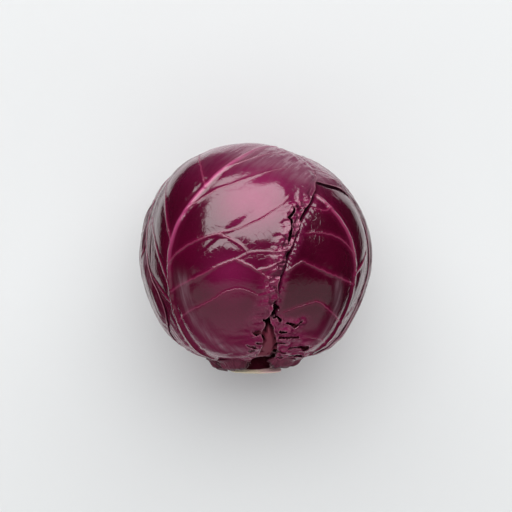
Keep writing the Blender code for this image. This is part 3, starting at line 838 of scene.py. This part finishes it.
def growLeaf(count):
    lay = laid[count]
    detail = {**plainLeaf, **leafDetail.get(lay.name, {})}
    leaf, x, y = startSheet("visual_" + lay.name, detail["squares"], detail["squares"])
    mesh = leaf.data
    x = x + detail["finer"] * (1 - x ** 2)  # smaller squares towards the torn margin

    # the square becomes a disc, and the disc the blade's outline with a torn margin
    across, along = x * np.sqrt(1 - y ** 2 / 2), y * np.sqrt(1 - x ** 2 / 2)
    angle = np.degrees(np.arctan2(across, along))
    out = np.hypot(across, along)
    middling = lay.reach(np.arange(360)).mean()
    reach = lay.reach(angle)
    rimWay = lay.point(reach, angle)
    rim = rimWay * skin
    torn = (lumps(rim, 11, count + 1) * 0.7 + lumps(rim, 4.5, count + 2) * 0.5
            + lumps(rim, 2.1, count + 3) * 0.35)
    torn = detail["ragged"] * (torn - 0.25)
    if lay is upperLeft:
        torn += rightOf(lay, rimWay) * (1.2 * lumps(rim, 5.2, 91) + 0.9 * lumps(rim, 2.4, 92))
    away = out * (middling + (reach - middling) * out) + torn / degree * out ** 12
    d = lay.point(away, angle)
    spots = d * skin
    side, up = sideAndUp(d)
    plane = lay.plane(d)
    edge = -lay.outside(d) * degree + torn * out ** 12
    ajar = np.minimum(edge, tearAway(d, lay)) if lay.name in tears else edge

    # midrib and veins
    random = np.random.default_rng(40 + count)
    mainVein, mainWidth, fineVein, fineWidth = leafVeins(lay, detail["starts"], plane, random)
    mainGap, fineGap = veinGap(mainVein), veinGap(fineVein)
    alongDegrees, acrossDegrees = plane[:, 1] / degree, plane[:, 0] / degree
    ribOff = (acrossDegrees - lay.ribMiddle(alongDegrees)) * degree * np.sinc(away / 180)
    ribHalf = (1.5 + 3.2 * np.exp(-(alongDegrees + 78) / 30)) * detail["ribWide"]
    ribTall = (0.5 + 1.6 * np.exp(-(alongDegrees + 82) / 34)) * detail["ribTall"]
    ribTop = bell(ribOff / (ribHalf * 0.85))
    ribFade = smooth(edge / 6)
    relief = ribTall * ribTop * ribFade
    relief = relief - heights["groove"] * bell((np.abs(ribOff) - ribHalf * 1.9) / 2.2) * ribFade
    relief += heights["mainVein"] * mainWidth * bell(mainGap / (0.75 * mainWidth + 0.5))
    relief += heights["fineVein"] * fineWidth * bell(fineGap / (0.8 * fineWidth + 0.55))
    relief += (heights["quilt"] * smooth(mainGap / 8) + heights["swell"] * lumps(spots, 17, count + 5)
               + heights["ripple"] * lumps(spots, 7.5, count + 6))

    # the crumpled strip, with short cracks between its flakes
    crumple = crumpled(lay, d, edge, ajar, angle, up, alongDegrees)
    crumple = crumple * (0.95 + 0.45 * lumps(spots, 8, count + 16))
    rooted = smooth((-alongDegrees - 34) / 14)
    run = np.column_stack([edge / 9, angle * np.sin(np.radians(away)) * degree / 3.4])
    waves = 0.45 * creases(run, 1, count + 9)
    waves += 0.75 * creases(spots, 5.8, count + 11) * (1 - 0.6 * rooted)
    waves += 0.5 * creases(spots, 2.7, count + 12) * (1 - 0.8 * rooted)
    relief += (crumple * waves * heights["crumple"]
               + heights["crumple"] * crumple * mainWidth * bell(mainGap / 1.1))
    cracks = crumple * smooth(1 - (ajar - 1) / 7) * bell(lumps(spots, 4.4, count + 15) * 4.4 / 0.75)
    cracks *= 1 - 0.85 * rooted
    relief -= heights["crack"] * cracks
    if lay is upperLeft:  # the fold beside the top of the strip
        aside = (side - 11.5 - (43 - up) * 0.286) * degree
        relief += heights["fold"] * bell((up - 33) / 10) * bell(aside / np.where(aside < 0, 13, 6.5))
    elif lay is innerTop:  # the smooth base rises between the two leaves over it
        bare = np.minimum(upperRight.outside(d), upperLeft.outside(d)) * degree
        relief += heights["strip"] * smooth(bare / 2.4)
        relief += heights["lip"] * bell(tearAway(d, lay) / 1.8)

    # pleats run from stem to crown along the flanks of the head, and leaf bases wrinkle across the rib
    flank = smooth((np.abs(side) - 59) / 15) * smooth((150 - np.abs(side)) / 30)
    flank = flank * smooth((78 - up) / 14)
    flank = np.maximum(flank, bell((side - 46) / 24) * smooth((up - 42) / 14))
    flank *= 1 - smooth(1 - np.abs(ribOff) / (ribHalf * 2.5))
    relief += heights["pleat"] * flank * creases(np.column_stack([side / 2.9, up / 24]), 1, 17)
    buckle = smooth((-alongDegrees - 44) / 20) * smooth(edge / 4)
    stretched = np.column_stack([plane[:, 0] / 12, plane[:, 1] / 3.2])
    relief += ((heights["buckle"] + 0.5 * crumple) * buckle * lumps(stretched, 1, count + 21)
               * (1 - 0.8 * ribTop))

    # the margin is pressed down, and lifts where it is crumpled
    press = bell(np.maximum(edge, 0) / 3.6) * (heights["press"] + 0.35 * lumps(rim, 16, count + 31))
    press *= smooth((np.abs(np.mod(angle, 360) - 180) - 10) / 12)
    lift = bell(np.maximum(ajar, 0) / 2.4) * (heights["lift"] + 0.6 * lumps(rim, 5, count + 32))
    relief += lift * crumple - press * (1 - 0.75 * np.minimum(crumple * 1.5, 1))
    hidden = np.zeros(len(d))
    for other in laid[count + 1:]:
        hidden = np.maximum(hidden, smooth(-other.outside(d) / 4))
    sunk = cleft(d, count)
    relief = relief * (1 - 0.85 * hidden) * (1 - 0.7 * np.minimum(sunk, 1))
    relief = relief - heights["cleft"] * sunk * (1.2 if innerTop in laid[count + 1:] else 1)

    lifted = d * (laidRadius(d, count) + head["blade"] + relief * 0.001)[:, None]
    lifted[lifted[:, 2] < restSnap - head["restDepth"], 2] = -head["restDepth"]
    placeVertices(mesh, lifted + headMiddle)

    # what the material reads
    corners = np.empty(len(mesh.loops), dtype=np.int32)
    mesh.loops.foreach_get("vertex_index", corners)
    mesh.uv_layers[0].data.foreach_set("uv", (0.5 + plane[corners] / 300).astype(np.float32).ravel())
    mesh.uv_layers[0].name = "UVMap"
    # painted light: a lighter, pinker patch centred where the key light's highlight falls, and a weaker one
    # below the middle of the head
    paintedLight = bell(degreesFrom(d, direction(0, 28)) / 18)
    paintedLight += 0.5 * bell(degreesFrom(d, direction(-12, -9)) / 12)
    # pale dust bands, partly painted reflection of the floor
    dustAndSheen = np.zeros(len(d))
    for path, half in dustAndSheenBands.get(lay.name, []):
        dustAndSheen = np.maximum(dustAndSheen, bell(pathAway(lay, d, path) / half))
    writeAttribute(mesh, "mainVein", *mainVein.T)
    writeAttribute(mesh, "fineVein", *fineVein.T)
    writeAttribute(mesh, "veinWidth", mainWidth, fineWidth, crumple)
    writeAttribute(mesh, "midrib", ribOff, ribHalf * ribFade, plane[:, 1])
    # the third number of margin marks those recesses and cracks for the painted shade
    writeAttribute(mesh, "margin", ajar, paintedLight, np.maximum(smooth(sunk * 1.5 - 0.25), 0.85 * cracks))
    writeAttribute(mesh, "wear", dustAndSheen, flank)
    mesh.update()
    if lay.name in tears:
        openTears(mesh, ajar, edge)
    thinMargin(leaf)
    addWall(leaf, leafWall, "thickness")
    leaf.vertex_groups.clear()
    leaf.data.materials.append(leafFinish("leafSkin" + str(count), count, detail["shade"], detail["changes"],
                                          detail["matt"], detail["edgeWide"]))
    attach(leaf, "root")
    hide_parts(lay.name)
    print("leaf", leaf.name, len(leaf.data.polygons), "faces")


for count in range(len(laid)):
    growLeaf(count)

heartLook = {"lowestY": -0.056, "swell": 0.25, "crease": 0.12, "sink": 1.5, "shade": 0.8, "far": 30}


def growHeart():
    heart, d = startPiece("visual_inner_head", bpy.ops.mesh.primitive_ico_sphere_add,
                          subdivisions=6, radius=1)
    mesh = heart.data
    d /= np.linalg.norm(d, axis=1)[:, None]
    sunk = cleft(d, 0)
    swell = heartLook["swell"] * lumps(d * skin, 15, 51) + heartLook["crease"] * creases(d * skin, 6, 52)
    points = d * (heartRadius(d) + (swell - heartLook["sink"] * heights["cleft"] * sunk) * 0.001)[:, None]
    points[:, 1] = np.maximum(points[:, 1], heartLook["lowestY"])
    placeVertices(mesh, points + headMiddle)
    writeAttribute(mesh, "mainVein", 9, 9, 9)
    writeAttribute(mesh, "fineVein", 9, 9, 9)
    writeAttribute(mesh, "veinWidth")  # no veins, crumpling or wear on the heart
    writeAttribute(mesh, "midrib", heartLook["far"], 1, innerTop.plane(d)[:, 1])
    # on the heart the third number marks where it sinks under open tears, for the painted shade
    writeAttribute(mesh, "margin", heartLook["far"], 0, smooth(sunk * 1.5 - 0.25))
    # no dust bands or painted reflection of the floor on the heart either
    writeAttribute(mesh, "wear")
    mesh.update()
    bpy.ops.object.shade_smooth()
    mesh.materials.append(leafFinish("heartSkin", 9, heartLook["shade"], {}))
    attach(heart, "root")
    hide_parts("inner_head")


growHeart()

stem = {"sides": 144, "rows": 60, "inner": 0.057, "lobes": 6, "lobe": 0.022, "neck": 0.16, "sideShare": 0.55,
        "rounding": 0.0007, "dish": 0.0007, "waves": 0.00022}


def growStem():
    made, x, y = startSheet("visual_cut_stem", stem["sides"], stem["rows"])
    mesh = made.data
    turn = (x + 1) * math.pi
    run = (y + 1) / 2  # up the side, over the cut's edge and in to the middle
    slope = math.tan(math.radians(head["stemAngle"]))
    tall = head["cutReach"] - stem["inner"]
    climb = np.clip(run / stem["sideShare"], 0, 1)
    inward = np.clip((run - stem["sideShare"]) / (1 - stem["sideShare"]), 0, 1)
    reach = stem["inner"] + tall * climb
    lobe = 0.965 + stem["lobe"] * np.cos(stem["lobes"] * turn)
    ringed = np.stack([np.cos(turn), np.sin(turn)], axis=1) * 6
    rough = 0.01 * lumps(np.column_stack([ringed, reach * 900]), 1.7, 61)
    neck = stem["neck"] * smooth((1 - climb) / 0.28) * (1 + 0.5 * lumps(ringed, 2.2, 63))
    radius = reach * slope * (lobe + rough - neck) * (1 - inward)
    soft = bell((climb - 1) * tall / 0.0009) * np.where(inward > 0, bell(inward / 0.05), 1)
    radius = radius - stem["rounding"] * soft
    cut = np.column_stack([radius * np.sin(turn), radius * np.cos(turn)]) * 1000
    dish = stem["dish"] * smooth((0.8 - radius / 0.018) / 0.8)
    dish = dish + np.abs(stem["waves"] * lumps(cut, 4.5, 62)) + 0.0001
    depth = reach - np.where(inward > 0, dish, 0) - 0.0006 * soft
    placeVertices(mesh, np.column_stack([radius * np.sin(turn), -depth, radius * np.cos(turn)]) + headMiddle)
    outward = radius / (head["cutReach"] * slope * lobe)
    writeAttribute(mesh, "stemPlace", turn / (2 * math.pi), outward, (head["cutReach"] - depth) * 1000)
    bpy.ops.object.mode_set(mode="EDIT")
    bpy.ops.mesh.select_all(action="SELECT")
    bpy.ops.mesh.remove_doubles(threshold=0.00001)
    bpy.ops.mesh.select_all(action="DESELECT")
    bpy.ops.mesh.select_non_manifold()
    bpy.ops.mesh.edge_face_add()
    bpy.ops.mesh.select_all(action="SELECT")
    bpy.ops.mesh.normals_make_consistent(inside=False)
    bpy.ops.object.mode_set(mode="OBJECT")
    bpy.ops.object.shade_smooth_by_angle(angle=math.radians(60))
    made.data.materials.append(stemFinish())
    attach(made, "root")
    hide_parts("cut_stem")


growStem()

stubs = {
    "thick": 0.0023, "wall": 0.0012, "sunk": 0.0016, "fibres": 0.00035, "reach": 12, "ragged": 5,
    "squares": (96, 40),
    "each": [dict(side=-36, spread=26), dict(side=42, spread=24), dict(side=112, spread=30),
             dict(side=186, spread=31), dict(side=256, spread=28)],
}


def growStub(number, side, spread):  # a torn leaf base beside the stem
    made, across, out = startSheet("visual_leaf_stub_" + str(number), *stubs["squares"])
    mesh = made.data
    out = (out + 1) / 2
    start = head["stemAngle"] + head["buttClearance"]
    line = np.column_stack([across * 9, np.full(len(across), side * 1)])
    torn = stubs["ragged"] * (0.5 + 0.6 * lumps(line, 1.7, 71) + 0.5 * lumps(line, 0.6, 72))
    fromAxis = start + torn * (1 - out) + stubs["reach"] * out * (1 - 0.25 * across ** 2)
    roundAxis = side + spread * across * (1 - 0.15 * out)
    d = np.array([direction(a, r - 90) for a, r in zip(roundAxis, fromAxis)])
    fibres = lumps(np.column_stack([across * 26, out * 2.5]), 1, 73 + number)
    rim = smooth((1 - out) / 0.8) * smooth((1 - np.abs(across)) / 0.4)
    swell = 1 + 0.3 * lumps(np.column_stack([across * 3, out * 1.5]), 1, 75 + number)
    over = laidRadius(d, len(laid)) - stubs["sunk"] + (stubs["thick"] * swell + stubs["sunk"]) * rim
    over = over + stubs["fibres"] * fibres * rim
    placeVertices(mesh, d * over[:, None] + headMiddle)
    writeAttribute(mesh, "margin", out * 9)
    mesh.uv_layers[0].name = "UVMap"
    addWall(made, stubs["wall"])
    made.data.materials.append(rootFinish("tornBase" + str(number), number))
    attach(made, "root")
    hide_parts("leaf_stub_" + str(number))


for number, stub in enumerate(stubs["each"], start=1):
    growStub(number, **stub)
print("heart, stem and torn bases done")

studio = {
    "floorSize": 9,
    "floorColour": (0.8, 0.815, 0.82),
    "box": dict(tilt=45, away=3, wide=6.2, tall=4, radiance=2.25),
    "sheen": dict(tilt=45, away=2.9, wide=4.76, tall=3.2, aside=-0.28, radiance=5.2),
    "fill": dict(tilt=-59, away=3.4, wide=12, tall=3.2, radiance=0.2),
    "fillSoft": dict(tilt=-59, away=3.5, wide=13, tall=4, radiance=0.17),
    "fillEdge": dict(tilt=-59, away=3.6, wide=14, tall=4.9, radiance=0.15),
    "ceiling": dict(tilt=-20, away=3.4, wide=8, tall=5, radiance=0.42),
    "nearFloor": 0.18,
    "nearFloorColour": (0.95, 0.955, 0.96),
    "nearFloorUp": 0.0005,
    "room": (0.014, 0.014, 0.016),
    "lens": 80,
    "cameraAway": 0.744,
    "sensor": 36,
}


def addFloor():  # one wide floor, and a round of it near the head that the glossy leaves mirror
    bpy.ops.object.select_all(action="DESELECT")
    bpy.ops.mesh.primitive_plane_add(size=studio["floorSize"], location=(0, 0, 0))
    floor = bpy.context.object
    floor.name = "floor"
    floor.visible_glossy = False
    bpy.ops.mesh.primitive_circle_add(vertices=96, radius=studio["nearFloor"], fill_type="NGON",
                                      location=(headMiddle[0], headMiddle[1], studio["nearFloorUp"]))
    near = bpy.context.object
    near.name = "floorRound"
    near.visible_camera = False
    near.visible_diffuse = False
    near.visible_shadow = False
    for piece, name, colour in ((floor, "paleFloor", "floorColour"), (near, "nearFloor", "nearFloorColour")):
        finish = Finish(name)
        finish.set(Base_Color=studio[colour], Roughness=0.9)
        piece.data.materials.append(finish.material)


def addPanel(name, tilt, away, wide, tall, radiance, aside=0):  # a soft panel, tilted along Y
    turn = math.radians(tilt)
    place = headMiddle + np.array([aside, away * math.sin(turn), away * math.cos(turn)])
    bpy.ops.object.light_add(type="AREA", location=tuple(place), rotation=(-turn, 0, 0))
    panel = bpy.context.object
    panel.name = name
    panel.data.shape = "RECTANGLE"
    panel.data.size, panel.data.size_y = wide, tall
    panel.data.energy = radiance * math.pi * wide * tall
    return panel


addFloor()
addPanel("softBox", **studio["box"]).visible_glossy = False
addPanel("sheenPanel", **studio["sheen"]).visible_diffuse = False
for name in ("fill", "fillSoft", "fillEdge"):
    addPanel(name + "Panel", **studio[name])
addPanel("ceiling", **studio["ceiling"]).visible_glossy = False
world = bpy.data.worlds.new("room")
world.use_nodes = True
world.node_tree.nodes["Background"].inputs["Color"].default_value = (*studio["room"], 1)
bpy.context.scene.world = world

cameraPlace = headMiddle + np.array([0, 0, studio["cameraAway"]])
bpy.ops.object.camera_add(location=tuple(cameraPlace), rotation=(0, 0, 0))
camera = bpy.context.object
camera.data.lens = studio["lens"]
camera.data.sensor_width = studio["sensor"]
bpy.context.scene.camera = camera
bpy.context.scene.view_settings.view_transform = "Standard"
print("studio done")
